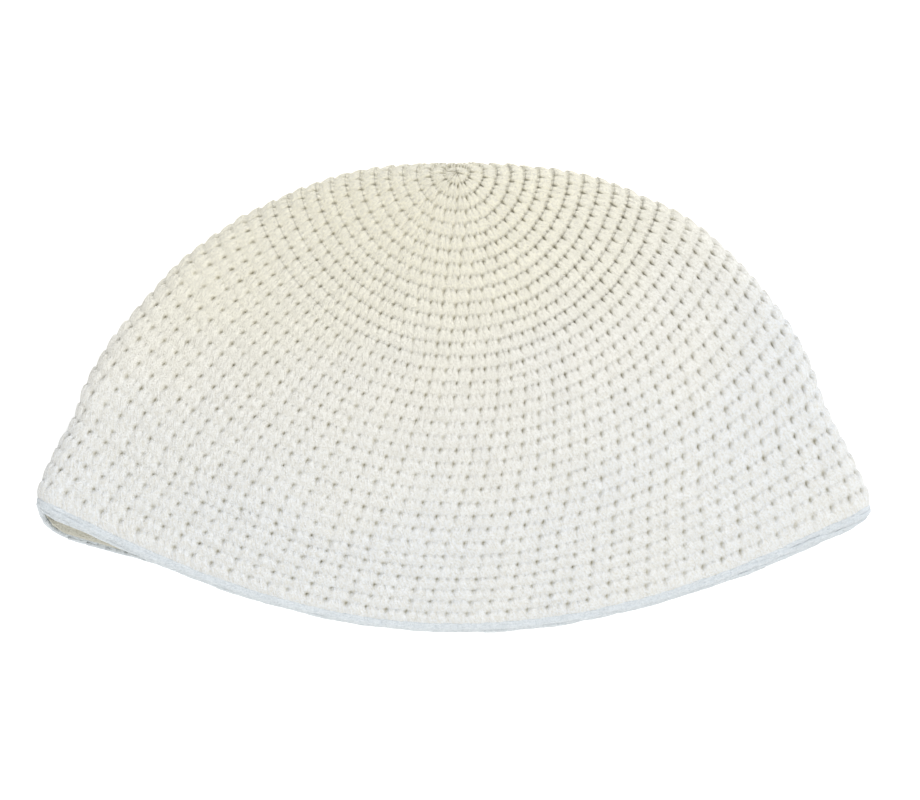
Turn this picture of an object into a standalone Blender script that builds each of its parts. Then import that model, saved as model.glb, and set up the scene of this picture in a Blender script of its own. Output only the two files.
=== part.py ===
"""A crocheted skullcap, folded flat and lying on its side.

Seen from above, +Y points from the mouth to the crown, +X points right and +Z up from the table.
The knit is one bag: an upper layer and a lower layer that turn into each other round the fold.
The origin is the middle of the cap's footprint, on the table.
"""

import bpy
import numpy as np

# The folded cap, in metres
FOLDED_WIDTH = 0.2618  # between the two ends of the mouth
FOLDED_DEPTH = 0.1464  # from the fold over the crown to the lowest point of the mouth
KNIT_THICKNESS = 0.0034
FOLD_HOLLOW = 0.0034  # inner radius of the turn from one layer to the other
CROWN_SETBACK = 0.0073  # along the knit, from the fold to the centre of the crown
UPPER_RISE = 0.0095  # how far the upper layer bulges above the height of the fold
MOUTH_RISE = 0.0030  # the same at the middle of the mouth
LEFT_MOUTH_LIFT = 0.0050  # how far the mouth's left half lies above a plain arc
RIGHT_MOUTH_LIFT = 0.0032
LOWER_MOUTH_SETBACK = 0.0014  # how far the lower layer stops short at the middle of the mouth
LEFT_CORNER_DROOP = 0.0058  # how far the lower layer shows past the mouth's left end

# The edging worked round the mouth
EDGING_WIDTH = 0.0034
EDGING_GAP = 0.0003
EDGING_SECTION = (  # shares of its width from the crown side, and of the thickness inwards
    (0.22, 0.0),
    (0.78, 0.0),
    (1.0, 0.25),
    (1.0, 0.75),
    (0.78, 1.0),
    (0.22, 1.0),
    (0.0, 0.75),
    (0.0, 0.25),
)

# The fold line seen from above, from past the mouth's left end over the crown to past its
# right end. Across is a share of half the width, up a share of the depth.
FOLD_ROWS = (
    (-0.960, 0.140),
    (-0.986, 0.195),
    (-0.998, 0.250),
    (-1.000, 0.285),
    (-0.993, 0.313),
    (-0.976, 0.345),
    (-0.945, 0.404),
    (-0.911, 0.456),
    (-0.889, 0.515),
    (-0.857, 0.571),
    (-0.810, 0.635),
    (-0.758, 0.690),
    (-0.651, 0.793),
    (-0.565, 0.851),
    (-0.496, 0.891),
    (-0.312, 0.964),
    (-0.174, 0.991),
    (-0.014, 1.000),
    (0.151, 0.996),
    (0.335, 0.972),
    (0.442, 0.934),
    (0.543, 0.893),
    (0.629, 0.836),
    (0.722, 0.753),
    (0.805, 0.656),
    (0.853, 0.577),
    (0.887, 0.492),
    (0.932, 0.411),
    (0.980, 0.325),
    (0.999, 0.274),
    (1.000, 0.236),
    (0.985, 0.185),
    (0.955, 0.130),
)
CROWN_ACROSS = 0.008  # the crown's centre, as the shares above
LEFT_END_UP = 0.252  # where the mouth meets the fold
RIGHT_END_UP = 0.240
BULGE_SHARE = 0.45  # of the depth, in from the fold, where the upper layer stops rising

# How finely the surface is cut
RINGS = 22
RING_GROWTH = 1.4  # above 1, the rings are closer near the crown
FLAT_STEPS = 9  # from the middle of a layer to where it starts to turn
TURN_STEPS = 4  # a quarter turn
LOWER_STEPS = 7
MOST_TURN = 0.4  # of a quarter of a round, that the turn's columns may take up
FOLD_STEPS = 24  # between two rows of the fold
ROUND_STEPS = 181  # along one layer of a round, an odd number
NORMAL_STEP = 0.001  # how far to either side a ring looks for its slope
SHARP_EDGE = 50  # degrees

KNIT_COLOUR = (0.845, 0.835, 0.775)
EDGING_COLOUR = (0.800, 0.815, 0.810)
YARN_ROUGHNESS = 0.92

FOLD_RADIUS = FOLD_HOLLOW + KNIT_THICKNESS
QUARTER_TURN = FOLD_RADIUS * np.pi / 2
PUSHED_OUT = QUARTER_TURN - FOLD_RADIUS  # from the fold's line to the same knit laid flat
KNIT_REACH = FOLDED_DEPTH + PUSHED_OUT - CROWN_SETBACK  # crown to mouth along the upper layer
BODY_REACH = KNIT_REACH - EDGING_WIDTH - EDGING_GAP


def smooth_step(x):
    """0 below 0, 1 above 1, and an even slope between."""
    x = np.clip(x, 0, 1)
    return x * x * (3 - 2 * x)


def smooth_line(rows, steps):
    """A cubic line through the rows, whose direction at each is that of its two neighbours."""
    ends = 2 * rows[[0, -1]] - rows[[1, -2]]
    knots = np.vstack([ends[:1], rows, ends[1:]])
    length = np.cumsum(np.r_[0, np.linalg.norm(np.diff(knots, axis=0), axis=1)])
    slope = (knots[2:] - knots[:-2]) / (length[2:] - length[:-2])[:, None]
    span = np.diff(length[1:-1])[:, None, None]
    t = np.linspace(0, 1, steps, endpoint=False)[None, :, None]
    start, end = rows[:-1, None], rows[1:, None]
    leave, arrive = slope[:-1, None] * span, slope[1:, None] * span
    line = (
        start * (2 * t**3 - 3 * t**2 + 1)
        + leave * (t**3 - 2 * t**2 + t)
        + end * (3 * t**2 - 2 * t**3)
        + arrive * (t**3 - t**2)
    )
    return np.vstack([line.reshape(-1, 2), rows[-1:]])


def fold_line():
    """(points, inward normals, length from the crown) of the fold, positive to the right."""
    rows = np.array(FOLD_ROWS) * (FOLDED_WIDTH / 2, FOLDED_DEPTH)
    points = smooth_line(rows, FOLD_STEPS)
    along = np.gradient(points, axis=0)
    along /= np.linalg.norm(along, axis=1)[:, None]
    inward = np.stack([along[:, 1], -along[:, 0]], axis=1)
    length = np.cumsum(np.r_[0, np.linalg.norm(np.diff(points, axis=0), axis=1)])
    top = points[:, 1] > CROWN[1] / 2
    return points, inward, length - np.interp(CROWN[0], points[top, 0], length[top])


CROWN = np.array([CROWN_ACROSS * FOLDED_WIDTH / 2, FOLDED_DEPTH + PUSHED_OUT - CROWN_SETBACK])
FOLD, INWARD, FOLD_LENGTH = fold_line()


def fold_length_at(up, side):
    """How far along the fold, from the crown, it comes down to this height on that side."""
    half = FOLD_LENGTH * side > 0
    height, length = FOLD[half, 1], FOLD_LENGTH[half]
    order = np.argsort(height)
    return np.interp(up * FOLDED_DEPTH, height[order], length[order])


MOUTH_ENDS = (fold_length_at(LEFT_END_UP, -1), fold_length_at(RIGHT_END_UP, 1))


def on_laid_fold(length):
    """The point of the fold at this length from the crown, as if the turn were laid flat."""
    place = [np.interp(length, FOLD_LENGTH, FOLD[:, i]) for i in (0, 1)]
    normal = [np.interp(length, FOLD_LENGTH, INWARD[:, i]) for i in (0, 1)]
    return np.array(place) - PUSHED_OUT * np.array(normal)


def arc(start, middle, end, steps):
    """Points on the circle through the three, from start to end."""
    chord, other = end - start, middle - start
    twice = 2 * (other[0] * chord[1] - other[1] * chord[0])
    across = (other @ other * chord[1] - chord @ chord * other[1]) / twice
    up = (chord @ chord * other[0] - other @ other * chord[0]) / twice
    centre = start + (across, up)
    first, last = (np.arctan2(*(p - centre)[::-1]) for p in (start, end))
    sweep = (last - first) % (2 * np.pi * np.sign(twice))
    angle = first + sweep * np.linspace(0, 1, steps)
    radius = np.linalg.norm(start - centre)
    return centre + radius * np.stack([np.cos(angle), np.sin(angle)], axis=1)


def bump(share, power):
    """0 in the middle and at either end, and 1 at its peak, nearer the end the more power."""
    peak = power / (power + 0.5)
    beside = np.abs(share)
    return (beside / peak) ** power * np.sqrt((1 - beside) / (1 - peak))


def lifted(line, reach, droop=0.0):
    """The line with its halves raised between the middle and the ends, and its left end
    lowered by the droop, fully at the mouth and less towards the crown."""
    share = np.linspace(-1, 1, len(line))
    to_mouth = (reach / KNIT_REACH) ** 2
    lift = np.where(share < 0, LEFT_MOUTH_LIFT, RIGHT_MOUTH_LIFT) * bump(share, 2)
    drop = droop * (share < 0) * bump(share, 6) * to_mouth**3
    return line + np.stack([0 * lift, (lift - drop) * to_mouth], axis=1)


def laid_round(reach, steps=ROUND_STEPS):
    """One round of the knit with both layers laid flat, from its left fold point along the
    upper layer to the right one and back along the lower layer: (points, 1 or -1 by layer).
    A round that doesn't reach the fold is a circle that waits at its top for the way back."""
    if reach <= CROWN_SETBACK:
        angle = np.pi / 2 + 2 * np.pi * np.minimum(np.arange(2 * steps - 1) / (steps - 1), 1)
        circle = CROWN + reach * np.stack([np.cos(angle), np.sin(angle)], axis=1)
        return circle, np.ones(len(circle))
    beside = np.sqrt(reach**2 - CROWN_SETBACK**2)
    at_mouth = np.sqrt(KNIT_REACH**2 - CROWN_SETBACK**2)
    spread = [1 + (abs(end) / at_mouth - 1) * beside / at_mouth for end in MOUTH_ENDS]
    left, right = on_laid_fold(-beside * spread[0]), on_laid_fold(beside * spread[1])
    even = smooth_step((reach - CROWN_SETBACK) / (KNIT_REACH - CROWN_SETBACK))
    short = 2 * CROWN_SETBACK * (1 - even) + LOWER_MOUTH_SETBACK * even
    upper = lifted(arc(left, CROWN - (0, reach), right, steps), reach)
    lower = lifted(arc(left, CROWN - (0, reach - short), right, steps), reach, LEFT_CORNER_DROOP)
    points = np.vstack([upper, lower[-2::-1]])
    return points, np.r_[np.ones(steps), -np.ones(steps - 1)]


def folded(points, layer, reach):
    """Turns laid-flat knit round the fold: within a quarter turn of it, the knit follows a
    circle of the fold's radius, and past that it lies flat or bulges up."""
    gap = points[:, None] - FOLD[None]
    nearest = np.argmin((gap**2).sum(axis=2), axis=1)
    inside = (gap[np.arange(len(points)), nearest] * INWARD[nearest]).sum(axis=1)
    turned = np.clip(inside + PUSHED_OUT, 0, None)
    angle = np.minimum(turned / FOLD_RADIUS, np.pi / 2)
    inset = np.where(
        turned < QUARTER_TURN, FOLD_RADIUS * (1 - np.cos(angle)), turned - PUSHED_OUT
    )
    plan = points + (inset - inside)[:, None] * INWARD[nearest]
    to_mouth = (reach / KNIT_REACH) ** 3
    rise = UPPER_RISE * (1 - to_mouth) + MOUTH_RISE * to_mouth
    bulge = rise * smooth_step((turned - QUARTER_TURN) / (FOLDED_DEPTH * BULGE_SHARE))
    height = FOLD_RADIUS + layer * FOLD_RADIUS * np.sin(angle) + (layer > 0) * bulge
    return np.column_stack([plan, height])


def stations(lengths):
    """Where the columns cross a round, as shares of its length. lengths are those from the
    middle of the upper layer to the right fold, the lower middle, the left fold and back.
    The columns crowd at the folds, but are even on the small rounds of the crown."""
    marks = np.cumsum(np.r_[0, lengths])
    crowded = []
    plans = (
        (FLAT_STEPS, TURN_STEPS),
        (TURN_STEPS, LOWER_STEPS),
        (LOWER_STEPS, TURN_STEPS),
        (TURN_STEPS, FLAT_STEPS),
    )
    for quarter, counts in enumerate(plans):
        turn = min(QUARTER_TURN, MOST_TURN * lengths[quarter])
        first = turn if quarter % 2 else lengths[quarter] - turn
        corner = marks[quarter] + first
        crowded += list(np.linspace(marks[quarter], corner, counts[0], endpoint=False))
        crowded += list(np.linspace(corner, marks[quarter + 1], counts[1], endpoint=False))
    crowded = np.array(crowded) / marks[-1]
    return crowded, np.arange(len(crowded)) / len(crowded)


def ring(reach, steps=ROUND_STEPS):
    """Points of the outer surface along one round, a column each, from the upper middle."""
    points = folded(*laid_round(reach, steps), reach)
    points = np.roll(points[:-1], -(steps // 2), axis=0)
    points = np.vstack([points, points[:1]])
    length = np.cumsum(np.r_[0, np.linalg.norm(np.diff(points, axis=0), axis=1)])
    quarters = np.diff(length[[0, steps // 2, steps - 1, 3 * steps // 2 - 1, -1]])
    crowded, even = stations(quarters)
    mix = smooth_step((reach - CROWN_SETBACK) / (2 * QUARTER_TURN))
    at = (mix * crowded + (1 - mix) * even) * length[-1]
    return np.stack([np.interp(at, length, points[:, i]) for i in range(3)], axis=1)


def rings_at(reaches):
    """(points, outward unit normals) of the outer surface, a ring of columns per reach."""
    points, below, above = (
        np.array([ring(reach + step) for reach in reaches])
        for step in (0, NORMAL_STEP, -NORMAL_STEP)
    )
    along = np.roll(points, -1, axis=1) - np.roll(points, 1, axis=1)
    normal = np.cross(below - above, along)
    return points, normal / np.linalg.norm(normal, axis=2)[..., None]


def tube_faces(rings, columns, first, flip):
    """Quads between rings of points that start at the vertex number given."""
    faces = []
    for i in range(rings - 1):
        for j in range(columns):
            a, b = first + i * columns + j, first + i * columns + (j + 1) % columns
            quad = (a, a + columns, b + columns, b)
            faces.append(quad[::-1] if flip else quad)
    return faces


def add_piece(name, points, faces, colour):
    mesh = bpy.data.meshes.new(name)
    mesh.from_pydata(points.tolist(), [], faces)
    mesh.update()
    mesh.shade_smooth()
    mesh.set_sharp_from_angle(angle=np.radians(SHARP_EDGE))
    material = bpy.data.materials.new(name)
    material.use_nodes = True
    shader = material.node_tree.nodes["Principled BSDF"]
    shader.inputs["Base Color"].default_value = (*colour, 1)
    shader.inputs["Roughness"].default_value = YARN_ROUGHNESS
    mesh.materials.append(material)
    piece = bpy.data.objects.new(name, mesh)
    bpy.context.scene.collection.objects.link(piece)
    return piece


def knit_body():
    """(points, faces) of the cap: an outer and an inner shell that meet at the mouth."""
    reaches = BODY_REACH * (np.arange(1, RINGS + 1) / RINGS) ** RING_GROWTH
    outer, normal = rings_at(reaches)
    inner = outer - KNIT_THICKNESS * normal
    columns = outer.shape[1]
    count = RINGS * columns
    crown = folded(CROWN[None], np.ones(1), 0)
    tips = np.vstack([crown, crown - (0, 0, KNIT_THICKNESS)])
    points = np.vstack([outer.reshape(-1, 3), inner.reshape(-1, 3), tips])
    faces = tube_faces(RINGS, columns, 0, flip=False)
    faces += tube_faces(RINGS, columns, count, flip=True)
    last = count - columns
    for j in range(columns):
        k = (j + 1) % columns
        faces.append((2 * count, j, k))
        faces.append((2 * count + 1, count + k, count + j))
        faces.append((last + j, count + last + j, count + last + k, last + k))
    return points, faces


def edging_band():
    """(points, faces) of the edging: an eight-sided section carried round the mouth."""
    start = KNIT_REACH - EDGING_WIDTH
    along, depth = np.array(EDGING_SECTION).T
    outer, normal = rings_at(start + EDGING_WIDTH * along)
    loops = outer - KNIT_THICKNESS * depth[:, None, None] * normal
    columns = loops.shape[1]
    count = len(EDGING_SECTION) * columns
    faces = tube_faces(len(EDGING_SECTION) + 1, columns, 0, flip=False)
    return loops.reshape(-1, 3), [tuple(v % count for v in face) for face in faces]


def main():
    for left_over in list(bpy.data.objects):
        bpy.data.objects.remove(left_over)
    pieces = {
        "crocheted_cap": (*knit_body(), KNIT_COLOUR),
        "mouth_edging": (*edging_band(), EDGING_COLOUR),
    }
    everything = np.vstack([points for points, _, _ in pieces.values()])
    low, high = everything.min(axis=0), everything.max(axis=0)
    origin = np.array([*(low + high)[:2] / 2, low[2]])
    for name, (points, faces, colour) in pieces.items():
        add_piece(name, points - origin, faces, colour)


main()
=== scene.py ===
"""The look of a crocheted skullcap that lies folded on its side: every stitch in cotton yarn."""

import math

import bpy
import numpy as np
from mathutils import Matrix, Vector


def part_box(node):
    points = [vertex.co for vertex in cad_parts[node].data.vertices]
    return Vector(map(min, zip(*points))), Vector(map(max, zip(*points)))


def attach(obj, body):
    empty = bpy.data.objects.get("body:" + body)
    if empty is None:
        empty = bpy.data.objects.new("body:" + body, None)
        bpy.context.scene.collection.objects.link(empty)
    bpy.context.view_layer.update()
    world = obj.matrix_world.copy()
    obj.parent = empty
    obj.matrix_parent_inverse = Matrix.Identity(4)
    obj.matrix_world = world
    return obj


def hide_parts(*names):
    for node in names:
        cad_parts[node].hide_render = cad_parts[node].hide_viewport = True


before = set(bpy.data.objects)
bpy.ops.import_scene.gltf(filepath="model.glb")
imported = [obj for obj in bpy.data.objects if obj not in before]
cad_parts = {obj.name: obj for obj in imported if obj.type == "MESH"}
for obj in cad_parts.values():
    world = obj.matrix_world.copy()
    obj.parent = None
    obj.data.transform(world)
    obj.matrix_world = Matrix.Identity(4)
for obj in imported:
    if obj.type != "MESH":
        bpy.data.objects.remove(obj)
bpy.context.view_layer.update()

# The folded cap, in metres, as the frame's solids have it
FOLDED_WIDTH = 0.2618
FOLDED_DEPTH = 0.1464
KNIT_THICKNESS = 0.0034
FOLD_HOLLOW = 0.0034
CROWN_SETBACK = 0.0073
UPPER_RISE = 0.0095
MOUTH_RISE = 0.0030
LEFT_MOUTH_LIFT = 0.0050
RIGHT_MOUTH_LIFT = 0.0032
LOWER_MOUTH_SETBACK = 0.0014
LEFT_CORNER_DROOP = 0.0058
EDGING_WIDTH = 0.0034
FOLD_ROWS = (  # across as a share of half the width, up as a share of the depth
    (-0.960, 0.140),
    (-0.986, 0.195),
    (-0.998, 0.250),
    (-1.000, 0.285),
    (-0.993, 0.313),
    (-0.976, 0.345),
    (-0.945, 0.404),
    (-0.911, 0.456),
    (-0.889, 0.515),
    (-0.857, 0.571),
    (-0.810, 0.635),
    (-0.758, 0.690),
    (-0.651, 0.793),
    (-0.565, 0.851),
    (-0.496, 0.891),
    (-0.312, 0.964),
    (-0.174, 0.991),
    (-0.014, 1.000),
    (0.151, 0.996),
    (0.335, 0.972),
    (0.442, 0.934),
    (0.543, 0.893),
    (0.629, 0.836),
    (0.722, 0.753),
    (0.805, 0.656),
    (0.853, 0.577),
    (0.887, 0.492),
    (0.932, 0.411),
    (0.980, 0.325),
    (0.999, 0.274),
    (1.000, 0.236),
    (0.985, 0.185),
    (0.955, 0.130),
)
CROWN_ACROSS = 0.008
LEFT_END_UP = 0.252
RIGHT_END_UP = 0.240
BULGE_SHARE = 0.45  # of the depth, in from the fold, where the upper layer stops rising
FOLD_STEPS = 24  # between two rows of the fold
ROUND_STEPS = 181  # along one layer of a round, an odd number

# The crochet: rounds of stitches from the crown to the mouth
INCREASE_ROUNDS = 15  # each has this many stitches more than the last:
INCREASES = 6
EVEN_ROUNDS = 20
ROUND_HEIGHT = 0.00412  # of the first rounds, crown to mouth
TALL_ROUNDS = 29  # the rounds after these share what is left of the side
ROUND_LEAN = 0.165  # of a stitch, that each round lags behind the last
ROUNDS = INCREASE_ROUNDS + EVEN_ROUNDS
MOST_STITCHES = INCREASES * INCREASE_ROUNDS

# A stitch's depths under the cap's outer surface, in metres
FACE_DEPTH = 0.0002  # of its top
RELIEF = 0.00125  # from its top to the lowest places between the stitches
PIT_DEPTH = 0.0008  # how much deeper the hole at its corner is
BACK_DEPTH = 0.0026  # of the plain grid behind the stitches
HOLE_SHADE_DEPTH = 0.0011  # where painted shade starts on the yarn in the holes, full at twice this depth
CROWN_RELIEF = 0.2  # how much more the relief is in the crown's tight rounds, as a share
FADE_START = 5  # the round from which that fades
FADE_ROUNDS = 14

# A stitch's shape: lengths along it are in rounds, and those across it in stitches
LEG_OFFSET = 0.21  # of each leg from the stitch's middle
LEG_HALF_WIDTH = 0.30
LEG_ROUNDNESS = 0.45  # how much lower a leg is a half-width from its line, as a share
LEG_SLANT = 0.14
SLANT_PLACE = 0.45  # where the slanting leg is at its own offset
LEG_START = -0.22  # over the round before
END_CURVE = 0.30  # how much later a leg starts a half-width from its line
END_BOW = 0.50  # how much later again a stitch away from the stitch's middle
RISE_LENGTH = 0.20
FALL_START = 0.28
FALL_LENGTH = 0.95
FALL = 0.85  # how much lower a leg is at its mouth end, as a share
LEG_END = 1.3
BLEND_POWER = 6  # the higher, the sharper the groove between two legs
HOLE_ALONG = 0.03  # its middle
HOLE_LENGTH = 0.16
HOLE_WIDTH = 0.085
HOLE_SLANT = 0.10
DENT_ALONG = 0.05  # where the slanting dent, between the two legs, is at the middle
DENT_WIDTH = 0.05
DENT_SLANT = 0.16
DENT_DEPTH = 0.4  # as a share of a hole's
CROWN_HOLES = 0.35  # how deep the first rounds' holes are, as a share of the side's
DEEPEN_START = 3  # the round from which they deepen
DEEPEN_ROUNDS = 15
MOST_HOLE = 1.3

# How uneven hand work is, each times a random draw
UNEVEN_PLACE = 0.03
UNEVEN_START = 0.04
UNEVEN_HEIGHT = 0.06
UNEVEN_HOLE = 0.2
HOLE_MEAN = 0.85
HOLE_RANGE = (0.4, 1.2)
STITCH_SEED = 5

# Rows of the stitches' mesh, in rounds
ROUND_PLACES = np.array([0, 0.06, 0.13, 0.22, 0.36, 0.52, 0.68, 0.79, 0.90])
END_STRIP = 0.006  # how narrow the rows at a block's ends are, to keep them flat
SAME_ROW = 0.001
FIRST_RING = 0.0003  # radius of the smallest ring at the crown, in metres

# The chain round the mouth, in metres
CHAIN_LINKS = 92
CHAIN_WIDTH = 0.0023  # past the last round of stitches
CHAIN_STRANDS = (  # place across the chain as a share of its width, how much deeper it lies
    (0.14, 0.0004),
    (0.46, 0.0003),
    (0.78, 0.0010),
)
CHAIN_SEED = 7
STRAND_SIDES = 8
STRAND_PLACES = 12  # along a strand
STRAND_REACH = 1.3  # to either side of the middle of its link, in links
STRAND_SLANT = 0.22  # from end to end, as a share of the chain's width
STRAND_DEPTH = 0.0010  # of its middle line where it is highest, before its own is added
STRAND_DIP = 0.0010  # how much deeper its ends would lie at no height of the arch
ARCH_START = 0.06  # where the strand starts on a half sine wave, as a share of it
ARCH_SPAN = 0.88
STRAND_HALF_WIDTH = 0.00088
STRAND_HALF_HEIGHT = 0.00080
STRAND_ENDS = 0.6  # girth at no height of the arch, as a share of the middle's
STRAND_STRAY = 0.00012  # times a random draw, towards or from the crown
LUMPS = 0.045  # how uneven the spun strand is, as a share of its radius

# The yarn
STRAND_GIRTH_MM = 5.0  # round a strand of the chain
STRAND_SHIFT_MM = 17.3  # so that no two strands show the same fibres
STITCH_MM = 5.5  # a stitch's width in UV: about 4 in the crown's rounds, 6 at the mouth
FIBRE_WIDTH_MM = 0.60  # a bundle of fibres in the soft yarn, drawn coarse enough to show
FIBRE_LENGTH_MM = 2.0
FIBRE_SLANT = 0.35  # how far a fibre turns aside in its length: the twist of the yarn
WALL_TURN = 130.0  # UV round a plain wall, whose fibres are drawn coarser than a stitch's
WALL_STRETCH = 6.0  # millimetres along a plain wall for one of UV
FUZZ_PER_METRE = 1500.0  # tufts of loose fibres, 0.7 mm each, drawn coarse enough to show
PATCHES_PER_METRE = 210.0  # about 5 mm each, the size of a stitch
CLOUDS_PER_METRE = 22.0  # about 45 mm each
FUZZ_LEVEL = 0.4  # taken off the fuzz's height
STREAK_SHARE = 0.8  # of the streaks beside the fuzz
LIGHT_FIBRES = (0.15, 0.65)  # heights between which the painted shade turns to the yarn's own tone
BUMP_STRENGTH = 0.9
BUMP_DISTANCE = 0.0007

# How the yarn's colour runs: cream at the crown, and bluish painted shade at the mouth
COOL_SHADE_BOW = -4.0  # times the square of the distance from the middle line: more painted shade at both sides
COOL_SHADE_LEAN = -0.20  # times the distance to the right of it: more painted shade on the right
SHADE_TO_CREAM_RANGE = (-0.046, 0.099)  # Y on the middle line where it starts and where it would be full
CLOUDINESS = 0.4
PATCH_TONE = 0.95  # of the darker patches

FOLD_RADIUS = FOLD_HOLLOW + KNIT_THICKNESS
QUARTER_TURN = FOLD_RADIUS * math.pi / 2
PUSHED_OUT = QUARTER_TURN - FOLD_RADIUS  # from the fold's line to the same knit laid flat
KNIT_REACH = FOLDED_DEPTH + PUSHED_OUT - CROWN_SETBACK  # crown to mouth, on the upper layer
EDGING_START = KNIT_REACH - EDGING_WIDTH
STITCH_REACH = KNIT_REACH - CHAIN_WIDTH

# The photograph's frame: where its middle lies on the cap, and how much it takes in
PICTURE_WIDTH_MM = 287.5
PICTURE_CENTRE_MM = (1.95, -1.5)
CAMERA_HEIGHT = 0.9


def camera_over(middle, width, height, level):
    """A camera that looks straight down, whose picture is this wide at the level given."""
    data = bpy.data.cameras.new("overhead")
    data.sensor_width = 36.0
    data.lens = data.sensor_width * height / width
    data.clip_end = 10.0
    camera = bpy.data.objects.new("overhead", data)
    camera.location = (*middle, level + height)
    bpy.context.scene.collection.objects.link(camera)
    bpy.context.scene.camera = camera


camera_over(
    [mm / 1000 for mm in PICTURE_CENTRE_MM], PICTURE_WIDTH_MM / 1000, CAMERA_HEIGHT, FOLD_RADIUS
)


# The surface of the folded knit


def smooth_step(x):
    """0 below 0, 1 above 1, and an even slope between."""
    x = np.clip(x, 0, 1)
    return x * x * (3 - 2 * x)


def smooth_line(rows, steps):
    """A cubic line through the rows, whose direction at each is that of its two neighbours."""
    ends = 2 * rows[[0, -1]] - rows[[1, -2]]
    knots = np.vstack([ends[:1], rows, ends[1:]])
    length = np.cumsum(np.r_[0, np.linalg.norm(np.diff(knots, axis=0), axis=1)])
    slope = (knots[2:] - knots[:-2]) / (length[2:] - length[:-2])[:, None]
    span = np.diff(length[1:-1])[:, None, None]
    t = np.linspace(0, 1, steps, endpoint=False)[None, :, None]
    start, end = rows[:-1, None], rows[1:, None]
    leave, arrive = slope[:-1, None] * span, slope[1:, None] * span
    line = (
        start * (2 * t**3 - 3 * t**2 + 1)
        + leave * (t**3 - 2 * t**2 + t)
        + end * (3 * t**2 - 2 * t**3)
        + arrive * (t**3 - t**2)
    )
    return np.vstack([line.reshape(-1, 2), rows[-1:]])


def fold_line(crown):
    """(points, inward normals, length from the crown) of the fold, positive to the right."""
    points = smooth_line(np.array(FOLD_ROWS) * (FOLDED_WIDTH / 2, FOLDED_DEPTH), FOLD_STEPS)
    along = np.gradient(points, axis=0)
    along /= np.linalg.norm(along, axis=1)[:, None]
    inward = np.stack([along[:, 1], -along[:, 0]], axis=1)
    length = np.cumsum(np.r_[0, np.linalg.norm(np.diff(points, axis=0), axis=1)])
    return points, inward, length - np.interp(crown[0], points[:, 0], length)


CROWN = np.array([CROWN_ACROSS * FOLDED_WIDTH / 2, FOLDED_DEPTH + PUSHED_OUT - CROWN_SETBACK])
FOLD, INWARD, FOLD_LENGTH = fold_line(CROWN)


def fold_length_at(up, side):
    """How far along the fold, from the crown, it comes down to this height on that side."""
    half = FOLD_LENGTH * side > 0
    height, length = FOLD[half, 1], FOLD_LENGTH[half]
    order = np.argsort(height)
    return np.interp(up * FOLDED_DEPTH, height[order], length[order])


MOUTH_ENDS = (fold_length_at(LEFT_END_UP, -1), fold_length_at(RIGHT_END_UP, 1))


def on_laid_fold(length):
    """The point of the fold at this length from the crown, as if the turn were laid flat."""
    place = [np.interp(length, FOLD_LENGTH, FOLD[:, i]) for i in (0, 1)]
    normal = [np.interp(length, FOLD_LENGTH, INWARD[:, i]) for i in (0, 1)]
    return np.array(place) - PUSHED_OUT * np.array(normal)


def arc(start, middle, end, steps):
    """Points on the circle through the three, from start to end."""
    chord, other = end - start, middle - start
    twice = 2 * (other[0] * chord[1] - other[1] * chord[0])
    across = (other @ other * chord[1] - chord @ chord * other[1]) / twice
    up = (chord @ chord * other[0] - other @ other * chord[0]) / twice
    centre = start + (across, up)
    first, last = (np.arctan2(*(p - centre)[::-1]) for p in (start, end))
    angle = first + (last - first) % (2 * np.pi * np.sign(twice)) * np.linspace(0, 1, steps)
    radius = np.linalg.norm(start - centre)
    return centre + radius * np.stack([np.cos(angle), np.sin(angle)], axis=1)


def bump(share, power):
    """0 in the middle and at either end, and 1 at its peak, nearer the end the more power:
    (x / peak)^power x the root of (1 - x) / (1 - peak), with x the distance from the middle."""
    peak = power / (power + 0.5)
    beside = np.abs(share)
    return (beside / peak) ** power * np.sqrt((1 - beside) / (1 - peak))


def lifted(line, reach, droop=0.0):
    """The line with its halves raised between the middle and the ends, and its left end
    lowered by the droop, fully at the mouth and less towards the crown."""
    share = np.linspace(-1, 1, len(line))
    to_mouth = (reach / KNIT_REACH) ** 2
    lift = np.where(share < 0, LEFT_MOUTH_LIFT, RIGHT_MOUTH_LIFT) * bump(share, 2)
    drop = droop * (share < 0) * bump(share, 6) * to_mouth**3
    return line + np.stack([0 * lift, (lift - drop) * to_mouth], axis=1)


def laid_round(reach, steps=ROUND_STEPS):
    """One round of the knit with both layers laid flat, from its left fold point along the
    upper layer to the right one and back along the lower layer: (points, 1 or -1 by layer).
    A round that doesn't reach the fold is a circle that waits at its top for the way back."""
    if reach <= CROWN_SETBACK:
        angle = np.pi / 2 + 2 * np.pi * np.minimum(np.arange(2 * steps - 1) / (steps - 1), 1)
        circle = CROWN + reach * np.stack([np.cos(angle), np.sin(angle)], axis=1)
        return circle, np.ones(len(circle))
    beside = np.sqrt(reach**2 - CROWN_SETBACK**2)
    at_mouth = np.sqrt(KNIT_REACH**2 - CROWN_SETBACK**2)
    spread = [1 + (abs(end) / at_mouth - 1) * beside / at_mouth for end in MOUTH_ENDS]
    left, right = on_laid_fold(-beside * spread[0]), on_laid_fold(beside * spread[1])
    even = smooth_step((reach - CROWN_SETBACK) / (KNIT_REACH - CROWN_SETBACK))
    short = 2 * CROWN_SETBACK * (1 - even) + LOWER_MOUTH_SETBACK * even
    upper = lifted(arc(left, CROWN - (0, reach), right, steps), reach)
    lower = lifted(arc(left, CROWN - (0, reach - short), right, steps), reach, LEFT_CORNER_DROOP)
    return np.vstack([upper, lower[-2::-1]]), np.r_[np.ones(steps), -np.ones(steps - 1)]


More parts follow.
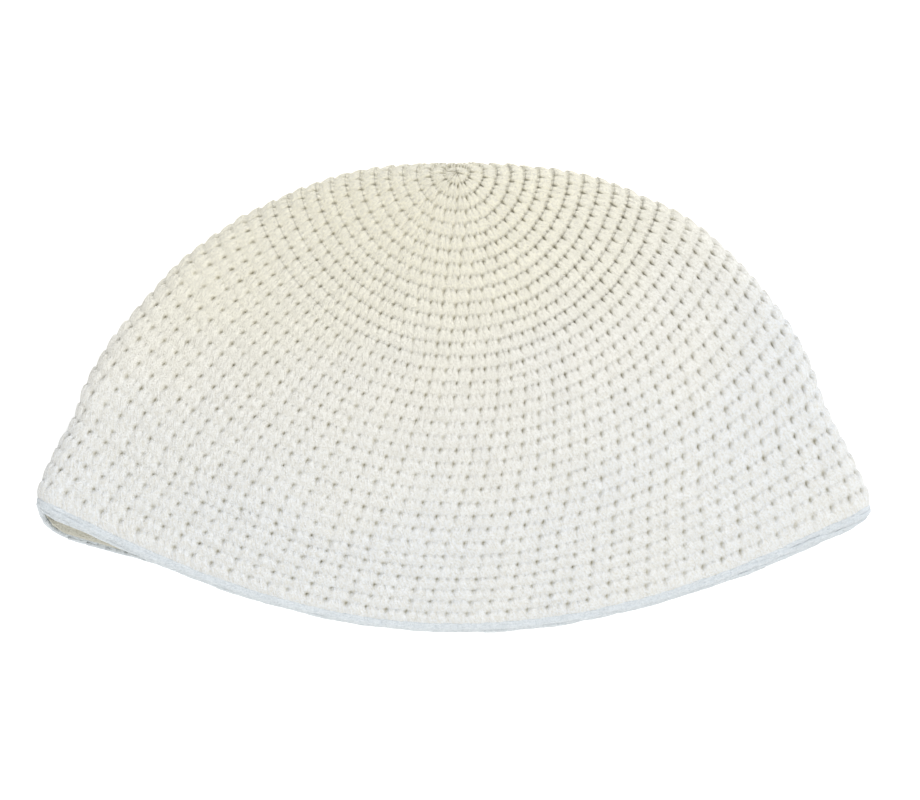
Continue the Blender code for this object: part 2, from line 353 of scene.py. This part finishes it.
def folded(points, layer, reach):
    """Turns laid-flat knit round the fold: within a quarter turn of it, the knit follows a
    circle of the fold's radius, and past that it lies flat or bulges up."""
    gap = points[:, None] - FOLD[None]
    nearest = np.argmin((gap**2).sum(axis=2), axis=1)
    inside = (gap[np.arange(len(points)), nearest] * INWARD[nearest]).sum(axis=1)
    turned = np.clip(inside + PUSHED_OUT, 0, None)
    angle = np.minimum(turned / FOLD_RADIUS, np.pi / 2)
    inset = np.where(
        turned < QUARTER_TURN, FOLD_RADIUS * (1 - np.cos(angle)), turned - PUSHED_OUT
    )
    plan = points + (inset - inside)[:, None] * INWARD[nearest]
    to_mouth = (reach / KNIT_REACH) ** 3
    rise = UPPER_RISE * (1 - to_mouth) + MOUTH_RISE * to_mouth
    bulge = rise * smooth_step((turned - QUARTER_TURN) / (FOLDED_DEPTH * BULGE_SHARE))
    height = FOLD_RADIUS + layer * FOLD_RADIUS * np.sin(angle) + (layer > 0) * bulge
    return np.column_stack([plan, height])


MAP_ROWS = 200
MAP_COLUMNS = 960
MAP_START = 0.0002  # from the crown
MAP_PAST = 0.004  # how far the map goes on past the mouth


def surface_map():
    """(reaches, points, outward unit normals) of the outer surface on a fine grid: a row for
    each reach from the crown, and columns even along its round from the upper middle."""
    reaches = np.linspace(MAP_START, KNIT_REACH + MAP_PAST, MAP_ROWS)
    rows = []
    for reach in reaches:
        points = folded(*laid_round(reach), reach)[:-1]
        points = np.roll(points, -(ROUND_STEPS // 2), axis=0)
        points = np.vstack([points, points[:1]])
        length = np.cumsum(np.r_[0, np.linalg.norm(np.diff(points, axis=0), axis=1)])
        at = np.arange(MAP_COLUMNS) / MAP_COLUMNS * length[-1]
        rows.append(np.stack([np.interp(at, length, points[:, i]) for i in range(3)], axis=1))
    points = np.array(rows)
    low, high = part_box("crocheted_cap")
    edge_low, edge_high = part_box("mouth_edging")
    middle = [(min(low[i], edge_low[i]) + max(high[i], edge_high[i])) / 2 for i in (0, 1)]
    inside = points[reaches <= KNIT_REACH]
    own = (inside.min(axis=(0, 1)) + inside.max(axis=(0, 1)))[:2] / 2
    points += (*(middle - own), 0)
    down = np.gradient(points, axis=0)
    along = np.roll(points, -1, axis=1) - np.roll(points, 1, axis=1)
    normal = np.cross(down, along)
    normal /= np.linalg.norm(normal, axis=2)[..., None]
    return reaches, points, normal


REACHES, SURFACE, NORMAL = surface_map()


def on_knit(reach, around, depth):
    """(points, outward normals) at a reach from the crown, a share of a turn around and a
    depth under the outer surface: read off the map between its four nearest places."""
    row = np.clip((reach - REACHES[0]) / (REACHES[1] - REACHES[0]), 0, MAP_ROWS - 1.001)
    column = around % 1 * MAP_COLUMNS
    i, j = row.astype(int), column.astype(int) % MAP_COLUMNS
    right = (j + 1) % MAP_COLUMNS
    a, b = (row - i)[..., None], (column - column.astype(int))[..., None]

    def read(values):
        near = values[i, j] * (1 - b) + values[i, right] * b
        far = values[i + 1, j] * (1 - b) + values[i + 1, right] * b
        return near * (1 - a) + far * a

    normal = read(NORMAL)
    normal /= np.linalg.norm(normal, axis=-1)[..., None]
    return read(SURFACE) - depth[..., None] * normal, normal


def round_edge(number):
    """How far from the crown a round ends: even rounds, then shallower ones to the mouth."""
    tall = np.minimum(number, TALL_ROUNDS) * ROUND_HEIGHT
    shallow = (STITCH_REACH - TALL_ROUNDS * ROUND_HEIGHT) / (ROUNDS - TALL_ROUNDS)
    return tall + np.maximum(number - TALL_ROUNDS, 0) * shallow


# Meshes


def make_piece(name, points, quads, uv, material, hole_shade=None):
    """A smooth mesh object of quads, with a UV corner for each corner of each quad, and how
    much painted shade each point gets from lying deep between the stitches, from 0 to 1."""
    mesh = bpy.data.meshes.new(name)
    mesh.vertices.add(len(points))
    mesh.vertices.foreach_set("co", points.astype(np.float32).ravel())
    mesh.loops.add(quads.size)
    mesh.loops.foreach_set("vertex_index", quads.astype(np.int32).ravel())
    mesh.polygons.add(len(quads))
    mesh.polygons.foreach_set("loop_start", np.arange(0, quads.size, 4, dtype=np.int32))
    mesh.polygons.foreach_set("use_smooth", np.ones(len(quads), dtype=bool))
    layer = mesh.uv_layers.new(name="yarn")
    layer.data.foreach_set("uv", uv.astype(np.float32).ravel())
    if hole_shade is not None:
        mesh.attributes.new("hole_shade", "FLOAT", "POINT")
        mesh.attributes["hole_shade"].data.foreach_set("value", hole_shade.astype(np.float32))
    mesh.update(calc_edges=True)
    mesh.validate()
    mesh.materials.append(material)
    piece = bpy.data.objects.new(name, mesh)
    bpy.context.scene.collection.objects.link(piece)
    return piece


def strands(reach, around, depth, wide, tall, rng):
    """(points, quads, uv) of many strands at once. Each row of reach, around and depth is a
    strand's middle line on the knit; wide and tall are its radii along and across the fabric
    at each place. A ring of corners stands square to the line at each place, on an ellipse,
    with each corner pushed in or out by LUMPS of the radius at random, and quads close each
    end. UV is in millimetres, round the strand and along it."""
    line, normal = on_knit(reach, around, depth)
    along = np.gradient(line, axis=1)
    along /= np.linalg.norm(along, axis=2)[..., None]
    across = np.cross(along, normal)
    across /= np.linalg.norm(across, axis=2)[..., None]
    up = np.cross(across, along)
    sides = STRAND_SIDES
    turn = 2 * np.pi * np.arange(sides) / sides
    spoke = (
        across[:, :, None] * (wide[..., None, None] * np.cos(turn)[:, None])
        + up[:, :, None] * (tall[..., None, None] * np.sin(turn)[:, None])
    )
    count, places = line.shape[:2]
    spoke *= 1 + LUMPS * rng.standard_normal((count, places, sides, 1))
    points = line[:, :, None] + spoke
    k, s = np.meshgrid(np.arange(places - 1), np.arange(sides), indexing="ij")
    here, beside = k * sides + s, k * sides + (s + 1) % sides
    side_quads = np.stack([here, here + sides, beside + sides, beside], axis=-1).reshape(-1, 4)
    low, high = np.arange(sides // 2 - 1), np.arange(sides - 1, sides // 2, -1)
    first = np.stack([low, low + 1, high - 1, high], axis=1)
    last = np.stack([high, high - 1, low + 1, low], axis=1) + (places - 1) * sides
    quads = np.vstack([side_quads, first, last])
    step = np.linalg.norm(np.diff(line, axis=1), axis=2)
    length = np.concatenate([np.zeros((count, 1)), np.cumsum(step, axis=1)], axis=1) * 1000
    length += STRAND_SHIFT_MM * np.arange(count)[:, None]
    corner_s = np.stack([s, s, s + 1, s + 1], axis=-1).reshape(-1, 4) / sides * STRAND_GIRTH_MM
    corner_k = np.stack([k, k + 1, k + 1, k], axis=-1).reshape(-1, 4)
    uv_side = np.stack(
        [np.broadcast_to(corner_s, (count, *corner_s.shape)), length[:, corner_k]], axis=-1
    )
    uv_ends = np.zeros((count, 2 * len(low), 4, 2))
    uv_ends[:, len(low) :, :, 1] = length[:, -1, None, None]
    uv = np.concatenate([uv_side, uv_ends], axis=1)
    offset = np.arange(count)[:, None, None] * places * sides
    return points.reshape(-1, 3), (quads[None] + offset).reshape(-1, 4), uv.reshape(-1, 2)


def joined(parts):
    """One set of points, quads and uv from several."""
    starts = np.cumsum([0] + [len(points) for points, _, _ in parts])
    points = np.vstack([points for points, _, _ in parts])
    quads = np.vstack([quads + start for (_, quads, _), start in zip(parts, starts)])
    return points, quads, np.vstack([uv for _, _, uv in parts])


def relief(number, around, lots):
    """(height from 0 to about 1, depth of the holes from 0 to MOST_HOLE) of the crochet at a
    place, given as a number of rounds from the crown and a share of a turn. Each stitch is
    two soft legs side by side. A leg's height is (1 - LEG_ROUNDNESS q^2) x rise x fall, with q
    the distance from its slanting middle line in half-widths. It rises over the round before
    in a round end, and falls slowly to its mouth end, where the next round's stitch lies over
    it. Where legs meet, the sixth root of the sum of their sixth powers gives a soft groove.
    Between two stitches, on the crown side, lies a small hole of depth exp(-(across /
    width)^2 - (along / length)^2), and between the two legs a narrower, shallower dent."""
    powers = np.zeros_like(number)
    holes = np.zeros_like(number)
    for step in (-1, 0, 1):
        own = np.ceil(number) + step
        real = (own >= 1) & (own <= ROUNDS)
        own = np.clip(own, 1, ROUNDS)
        along = number - own + 1
        count = INCREASES * np.minimum(own, INCREASE_ROUNDS)
        place = around * count + ROUND_LEAN * (own + along)
        stitch = np.round(place)
        slant = LEG_SLANT * (along - SLANT_PLACE)
        for shift, side in ((-1, 1), (0, -1), (0, 1), (1, -1)):
            lot = lots[own.astype(int), ((stitch + shift) % count).astype(int)]
            apart = place - stitch - shift
            q = (apart - side * LEG_OFFSET - slant + UNEVEN_PLACE * lot[..., 0]) / LEG_HALF_WIDTH
            start = LEG_START + END_CURVE * q**2 + END_BOW * apart**2
            start += UNEVEN_START * lot[..., 1 + (side > 0)]
            rise = smooth_step((along - start) / RISE_LENGTH)
            fall = 1 - FALL * smooth_step((along - FALL_START) / FALL_LENGTH)
            across = np.clip(1 - LEG_ROUNDNESS * q**2, 0, 1)
            leg = (1 + UNEVEN_HEIGHT * lot[..., 3]) * rise * fall * across
            powers += np.where(real & (along < LEG_END), leg**BLEND_POWER, 0)
        lot = lots[own.astype(int), (np.floor(place + 0.5) % count).astype(int)]
        beyond = ((along - HOLE_ALONG) / HOLE_LENGTH) ** 2
        edge = place - np.floor(place) - 0.5 - HOLE_SLANT * (along - HOLE_ALONG)
        hole = np.exp(-((edge / HOLE_WIDTH) ** 2) - beyond)
        middle = place - stitch - DENT_SLANT * (along - DENT_ALONG)
        dent = DENT_DEPTH * np.exp(-((middle / DENT_WIDTH) ** 2) - beyond)
        hole *= np.clip(HOLE_MEAN + UNEVEN_HOLE * lot[..., 2], *HOLE_RANGE)
        deepened = smooth_step((own - DEEPEN_START) / DEEPEN_ROUNDS)
        hole *= CROWN_HOLES + (1 - CROWN_HOLES) * deepened
        holes += np.where(real, np.maximum(hole, dent), 0)
    return powers ** (1 / BLEND_POWER), np.clip(holes, 0, MOST_HOLE)


def grid_quads(rows, columns):
    """Quads of a grid whose columns close into a ring, facing out."""
    i, j = np.meshgrid(np.arange(rows - 1), np.arange(columns), indexing="ij")
    a, b = i * columns + j, i * columns + (j + 1) % columns
    return np.stack([a, a + columns, b + columns, b], axis=-1).reshape(-1, 4)


def grid_uv(number, reach, around):
    """UV corners for grid_quads: millimetres across, at STITCH_MM for each stitch from the
    upper middle, and millimetres from the crown. The grid's last column is the first one, a
    turn on, so that no quad is torn."""
    across = around * INCREASES * np.clip(np.ceil(number), 1, INCREASE_ROUNDS) * STITCH_MM
    uv = np.stack([across, reach * 1000], axis=-1)
    corners = (uv[:-1, :-1], uv[1:, :-1], uv[1:, 1:], uv[:-1, 1:])
    return np.stack(corners, axis=2).reshape(-1, 2)


def knit_block(name, first, last, columns, material):
    """The stitches from one number of rounds to another as one closed wall: the relief
    outside and a plain grid behind. The front's depth is FACE_DEPTH + RELIEF x (1 - height) +
    PIT_DEPTH x hole, with more relief at the crown. Blocks meet on the stitches' tops, half a
    round on."""
    lots = np.random.default_rng(STITCH_SEED).standard_normal((ROUNDS + 1, MOST_STITCHES, 4))
    numbers = np.arange(ROUNDS + 1)
    fronts = np.append((numbers[:-1, None] + ROUND_PLACES).ravel(), ROUNDS)
    fronts = fronts[(fronts > first - SAME_ROW) & (fronts < last + SAME_ROW)]
    beside_ends = [last - END_STRIP] if first == 0 else [first + END_STRIP, last - END_STRIP]
    fronts = np.sort(np.append(fronts, beside_ends))
    backs = np.linspace(first, last, 2 * math.ceil(last - first) + 1)
    base = np.arange(columns + 1) / columns - 0.5
    points, uv, hole_shade = [], [], []
    for rows in (fronts, backs):
        number = np.repeat(rows[:, None], columns + 1, axis=1)
        reach = np.maximum(np.interp(number, numbers, round_edge(numbers)), FIRST_RING)
        around = base - ROUND_LEAN * (number + 1) / MOST_STITCHES
        if rows is fronts:
            height, hole = relief(number, around, lots)
            plump = 1 + CROWN_RELIEF * (1 - smooth_step((number - FADE_START) / FADE_ROUNDS))
            depth = FACE_DEPTH + RELIEF * plump * (1 - height) + PIT_DEPTH * hole
        else:
            depth = np.full_like(reach, BACK_DEPTH)
        points.append(on_knit(reach, around, depth)[0][:, :-1].reshape(-1, 3))
        uv.append(grid_uv(number, reach, around))
        # How much painted shade each point gets in the holes between the stitches, from its depth
        hole_shade.append(np.clip((depth - HOLE_SHADE_DEPTH) / HOLE_SHADE_DEPTH, 0, 1)[:, :-1].ravel())
    behind = len(points[0])
    quads = [grid_quads(len(fronts), columns), grid_quads(len(backs), columns)[:, ::-1] + behind]
    uv[1] = uv[1].reshape(-1, 4, 2)[:, ::-1].reshape(-1, 2)
    here = np.arange(columns)
    beside = (here + 1) % columns
    if first == 0:
        low, high = here[: columns // 2 - 1], here[: columns // 2 : -1]
        cap = np.stack([low, low + 1, high - 1, high], axis=1)
        quads += [cap, cap[:, ::-1] + behind]
    else:
        quads.append(np.stack([here, beside, beside + behind, here + behind], axis=1))
    front = (len(fronts) - 1) * columns
    back = behind + (len(backs) - 1) * columns
    quads.append(np.stack([here + back, beside + back, beside + front, here + front], axis=1))
    quads = np.vstack(quads)
    uv = np.vstack([*uv, np.zeros((quads.size - len(uv[0]) - len(uv[1]), 2))])
    return make_piece(name, np.vstack(points), quads, uv, material, np.concatenate(hole_shade))


def edging(name, material):
    """A chain round the mouth: each link is three strands that run side by side round the
    edge and slant a little, the last of them round the end of the knit, each longer than
    its share of the round so that it lies over the next. Along a strand, most of a half sine
    wave lifts its middle and makes it thicker than its ends."""
    number = np.arange(CHAIN_LINKS)[:, None]
    rng = np.random.default_rng(CHAIN_SEED)
    t = np.linspace(0, 1, STRAND_PLACES)[None]
    beside = -STRAND_REACH + 2 * STRAND_REACH * t
    slant = STRAND_SLANT * (t - 0.5)
    arch = np.sin(np.pi * (ARCH_START + ARCH_SPAN * t))
    thick = STRAND_ENDS + (1 - STRAND_ENDS) * arch
    parts = []
    for place, deeper in CHAIN_STRANDS:
        stray = STRAND_STRAY * rng.standard_normal((CHAIN_LINKS, 1))
        reach = KNIT_REACH - CHAIN_WIDTH * (1 - place - slant) + stray
        around = (number + beside) / CHAIN_LINKS
        depth = STRAND_DEPTH + deeper + STRAND_DIP * (1 - arch) + 0 * reach
        wide = STRAND_HALF_WIDTH * thick + 0 * reach
        tall = STRAND_HALF_HEIGHT * thick + 0 * reach
        parts.append(strands(reach, around, depth, wide, tall, rng))
    return make_piece(name, *joined(parts), material)


def wall(name, reaches, depths, rows, columns, bumps, material):
    """A closed wall inside the fabric: one grid at the outer depth, one at the inner depth,
    joined at both ends. The inner grid rises in a low bump for the back of each stitch, by
    bumps x (0.6 - |sin(pi round)| x (0.6 + 0.4 cos(2 pi stitch)))."""
    reach, around = np.meshgrid(
        np.linspace(*reaches, rows), np.arange(columns) / columns, indexing="ij"
    )
    numbers = np.arange(ROUNDS + 1)
    number = np.interp(reach, round_edge(numbers), numbers)
    count = INCREASES * np.clip(np.ceil(number), 1, INCREASE_ROUNDS)
    ridge = np.abs(np.sin(np.pi * number))
    beads = 0.6 + 0.4 * np.cos(2 * np.pi * (around * count + ROUND_LEAN * np.ceil(number)))
    outer, _ = on_knit(reach, around, np.full_like(reach, depths[0]))
    inner, _ = on_knit(reach, around, depths[1] + bumps * (ridge * beads - 0.6))
    points = np.vstack([outer.reshape(-1, 3), inner.reshape(-1, 3)])
    behind = rows * columns
    outside = grid_quads(rows, columns)
    here = np.arange(columns)
    beside = (here + 1) % columns
    start = np.stack([here, beside, beside + behind, here + behind], axis=1)
    end = start[:, ::-1] + (rows - 1) * columns
    quads = np.vstack([outside, outside[:, ::-1] + behind, start, end])
    uv = np.stack([around.ravel() * WALL_TURN, reach.ravel() * 1000 / WALL_STRETCH], axis=1)
    uv = np.vstack([uv, uv])[quads.ravel()]
    return make_piece(name, points, quads, uv, material)


# Materials


def linear(hex_colour):
    """The linear colour of an sRGB hex value such as "#F0EEE6"."""
    channels = [int(hex_colour[i : i + 2], 16) / 255 for i in (1, 3, 5)]
    return (
        *(c / 12.92 if c <= 0.04045 else ((c + 0.055) / 1.055) ** 2.4 for c in channels),
        1.0,
    )


def add(tree, kind, settings=(), links=()):
    """A node of this kind, with its settings, and its inputs set to values or linked."""
    node = tree.nodes.new(kind)
    for name, value in dict(settings).items():
        setattr(node, name, value)
    for socket, value in dict(links).items():
        if isinstance(value, bpy.types.NodeSocket):
            tree.links.new(value, node.inputs[socket])
        else:
            node.inputs[socket].default_value = value
    return node


def cotton_yarn(name, crown, rim, cool_shade, shade, hole):
    """Cotton, undyed and matt: combed and spun loosely into a thick soft yarn. Its fibres
    show as fine slanting streaks, in bumps and in painted shade between them, and the loose
    ones as a fuzz that takes away all shine and pales it at grazing angles. It has darker
    painted shade in the holes between the stitches. It is cream towards the crown, in cloudy
    patches, with bluish painted shade at the mouth, at both sides and on the right."""
    crown, rim, cool_shade, shade, hole = (linear(hue) for hue in (crown, rim, cool_shade, shade, hole))
    material = bpy.data.materials.new(name)
    material.use_nodes = True
    tree = material.node_tree
    shader = tree.nodes["Principled BSDF"]
    times, times_plus, minus = (
        {"operation": operation} for operation in ("MULTIPLY", "MULTIPLY_ADD", "SUBTRACT")
    )
    coords = add(tree, "ShaderNodeTexCoord").outputs
    uv = add(tree, "ShaderNodeSeparateXYZ", links={0: coords["UV"]}).outputs
    place = add(tree, "ShaderNodeSeparateXYZ", links={0: coords["Object"]}).outputs

    # UV is in millimetres, across and along the yarn
    aside = add(tree, "ShaderNodeMath", times_plus, {0: uv["Y"], 1: -FIBRE_SLANT, 2: uv["X"]})
    widths = add(tree, "ShaderNodeMath", times, {0: aside.outputs[0], 1: 1 / FIBRE_WIDTH_MM})
    lengths = add(tree, "ShaderNodeMath", times, {0: uv["Y"], 1: 1 / FIBRE_LENGTH_MM})
    laid = add(tree, "ShaderNodeCombineXYZ", links={0: widths.outputs[0], 1: lengths.outputs[0]})
    streaks, fuzz, patch, cloud = (
        add(
            tree,
            "ShaderNodeTexNoise",
            links={"Vector": vector, "Scale": scale, "Detail": detail, "Roughness": roughness},
        ).outputs["Fac"]
        for vector, scale, detail, roughness in (
            (laid.outputs[0], 1.0, 2.0, 0.6),
            (coords["Object"], FUZZ_PER_METRE, 3.0, 0.6),
            (coords["Object"], PATCHES_PER_METRE, 1.0, 0.5),
            (coords["Object"], CLOUDS_PER_METRE, 2.0, 0.5),
        )
    )

    # Cream least at the mouth's right end, where the bluish painted shade is fullest, and most near the
    # crown, shifted by the clouds
    squared = add(tree, "ShaderNodeMath", times, {0: place["X"], 1: place["X"]}).outputs[0]
    bowed = add(tree, "ShaderNodeMath", times_plus, {0: squared, 1: COOL_SHADE_BOW, 2: place["Y"]})
    towards_crown = add(
        tree, "ShaderNodeMath", times_plus, {0: place["X"], 1: COOL_SHADE_LEAN, 2: bowed.outputs[0]}
    )
    up = add(
        tree,
        "ShaderNodeMapRange",
        links={"Value": towards_crown.outputs[0], "From Min": SHADE_TO_CREAM_RANGE[0], "From Max": SHADE_TO_CREAM_RANGE[1]},
    ).outputs["Result"]
    shade_to_cream = add(tree, "ShaderNodeMath", times_plus, {0: cloud, 1: CLOUDINESS, 2: up}).outputs[0]
    middle = [(a + b) / 2 for a, b in zip(rim, crown)]
    shade_to_cream_ramp = add(tree, "ShaderNodeValToRGB", links={"Fac": shade_to_cream})
    tones = add(tree, "ShaderNodeValToRGB", links={"Fac": patch})
    for ramp, stops in (
        (shade_to_cream_ramp, ((0.2, cool_shade), (0.5, rim), (0.66, middle), (0.93, crown))),
        (tones, ((0.3, (PATCH_TONE, PATCH_TONE, PATCH_TONE, 1)), (0.65, (1, 1, 1, 1)))),
    ):
        elements = ramp.color_ramp.elements
        elements[0].position, elements[0].color = stops[0]
        elements[1].position, elements[1].color = stops[-1]
        for position, colour in stops[1:-1]:
            elements.new(position).color = colour
    tone = add(
        tree,
        "ShaderNodeMix",
        {"data_type": "RGBA", "blend_type": "MULTIPLY"},
        {0: 1.0, 6: shade_to_cream_ramp.outputs["Color"], 7: tones.outputs["Color"]},
    ).outputs[2]

    # Painted shade between the fibres, and darker painted shade in the holes between the stitches
    tufts = add(tree, "ShaderNodeMath", minus, {0: fuzz, 1: FUZZ_LEVEL}).outputs[0]
    fibres = add(tree, "ShaderNodeMath", times_plus, {0: streaks, 1: STREAK_SHARE, 2: tufts}).outputs[0]
    light = add(
        tree,
        "ShaderNodeMapRange",
        links={"Value": fibres, "From Min": LIGHT_FIBRES[0], "From Max": LIGHT_FIBRES[1]},
    ).outputs["Result"]
    shaded = add(tree, "ShaderNodeMix", {"data_type": "RGBA"}, {0: light, 6: shade, 7: tone})
    # The hole colour is mixed in as painted shade where the yarn lies deep between the stitches
    hole_shade = add(tree, "ShaderNodeAttribute", {"attribute_name": "hole_shade"}).outputs["Fac"]
    shaded_in_holes = add(
        tree, "ShaderNodeMix", {"data_type": "RGBA"}, {0: hole_shade, 6: shaded.outputs[2], 7: hole}
    )
    tree.links.new(shaded_in_holes.outputs[2], shader.inputs["Base Color"])
    raised = add(
        tree,
        "ShaderNodeBump",
        links={"Height": fibres, "Strength": BUMP_STRENGTH, "Distance": BUMP_DISTANCE},
    )
    tree.links.new(raised.outputs["Normal"], shader.inputs["Normal"])
    shader.inputs["Roughness"].default_value = 0.92
    shader.inputs["Specular IOR Level"].default_value = 0.25
    shader.inputs["Sheen Weight"].default_value = 0.2
    shader.inputs["Sheen Roughness"].default_value = 0.6
    return material


def light_table(name, colour, glow):
    """Matt white card with a little light of its own, as on a light table, so that the
    object's shadow stays pale."""
    material = bpy.data.materials.new(name)
    material.use_nodes = True
    shader = material.node_tree.nodes["Principled BSDF"]
    colour = linear(colour)
    shader.inputs["Base Color"].default_value = colour
    shader.inputs["Roughness"].default_value = 0.9
    shader.inputs["Specular IOR Level"].default_value = 0.1
    shader.inputs["Emission Color"].default_value = colour
    shader.inputs["Emission Strength"].default_value = glow
    return material


# Cream and white are the yarn's own colours; the bluish one is painted shade, as are the darker one
# between the fibres and the darkest one in the holes
YARN = cotton_yarn(
    "cotton_yarn", crown="#F0ECD8", rim="#EEEDE6", cool_shade="#E6E9EB", shade="#D4D1C6", hole="#A59E82"
)
# The chain's yarn in bluish painted shade: the same yarn as the cap, coloured darker and bluer for the
# shade on the mouth's edge
SHADED_EDGE_YARN = cotton_yarn(
    "edging_yarn_painted_shade", crown="#DDE1E2", rim="#DCE1E4", cool_shade="#DCE2E6", shade="#C4CCD1", hole="#C4CCD1"
)
# The inside of the cap and the chain's core in painted shade: the same yarn, coloured darker for the
# shade inside the cap
SHADED_INSIDE_YARN = cotton_yarn(
    "inside_yarn_painted_shade", crown="#DAD6C2", rim="#DCDACC", cool_shade="#DCDBD0", shade="#C5C2AF", hole="#C5C2AF"
)

BLOCKS = {  # the rounds between which it lies, and its columns
    "crown_rounds_1": (0, 4.52, 288),
    "crown_rounds_2": (4.52, 9.52, 648),
    "crown_rounds_3": (9.52, 15.52, 1080),
    "side_rounds_1": (15.52, 22.52, 1080),
    "side_rounds_2": (22.52, 29.52, 1080),
    "side_rounds_3": (29.52, ROUNDS, 1080),
}
cap_pieces = [knit_block(name, *block, YARN) for name, block in BLOCKS.items()]
cap_pieces.append(
    wall(
        "inside_face",
        reaches=(0.0006, EDGING_START + 0.0002),
        depths=(0.0027, KNIT_THICKNESS),
        rows=110,
        columns=270,
        bumps=0.0006,
        material=SHADED_INSIDE_YARN,
    )
)
for piece in cap_pieces:
    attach(piece, "root")
    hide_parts("crocheted_cap")
chain = edging("edging_chain", SHADED_EDGE_YARN)
core = wall(
    "edging_core",
    reaches=(EDGING_START + 0.0003, KNIT_REACH - 0.0008),
    depths=(0.0020, 0.0033),
    rows=6,
    columns=540,
    bumps=0.0,
    material=SHADED_INSIDE_YARN,
)
for piece in (chain, core):
    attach(piece, "root")
    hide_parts("mouth_edging")


# The table and the light


def floor(size, level, material):
    """A flat square on the table's level."""
    mesh = bpy.data.meshes.new("floor")
    mesh.from_pydata(
        [(-size, -size, level), (size, -size, level), (size, size, level), (-size, size, level)],
        [],
        [(0, 1, 2, 3)],
    )
    mesh.materials.append(material)
    plane = bpy.data.objects.new("floor", mesh)
    bpy.context.scene.collection.objects.link(plane)


def soft_light(name, place, size, power, colour):
    """A square lamp that faces the origin."""
    data = bpy.data.lights.new(name, "AREA")
    data.size = size
    data.energy = power
    data.color = linear(colour)[:3]
    lamp = bpy.data.objects.new(name, data)
    lamp.location = place
    away = np.array(place) / np.linalg.norm(place)
    tilt = math.acos(away[2])
    turn = math.atan2(away[0], -away[1])
    lamp.rotation_euler = (tilt, 0, turn)
    bpy.context.scene.collection.objects.link(lamp)


def sky(strength, colour):
    """Even light from all round."""
    world = bpy.data.worlds.new("sky")
    world.use_nodes = True
    background = world.node_tree.nodes["Background"]
    background.inputs["Color"].default_value = linear(colour)
    background.inputs["Strength"].default_value = strength
    bpy.context.scene.world = world


floor(size=1.5, level=-0.0003, material=light_table("white_card", "#FDFDFD", glow=0.3))
soft_light("window", place=(0.95, 1.26, 1.18), size=1.20, power=22.0, colour="#FBFCFF")
soft_light("fill", place=(-0.15, -0.78, 0.85), size=0.8, power=6.3, colour="#FFFDF8")
sky(0.67, "#FFFFFF")
bpy.context.scene.view_settings.view_transform = "Standard"
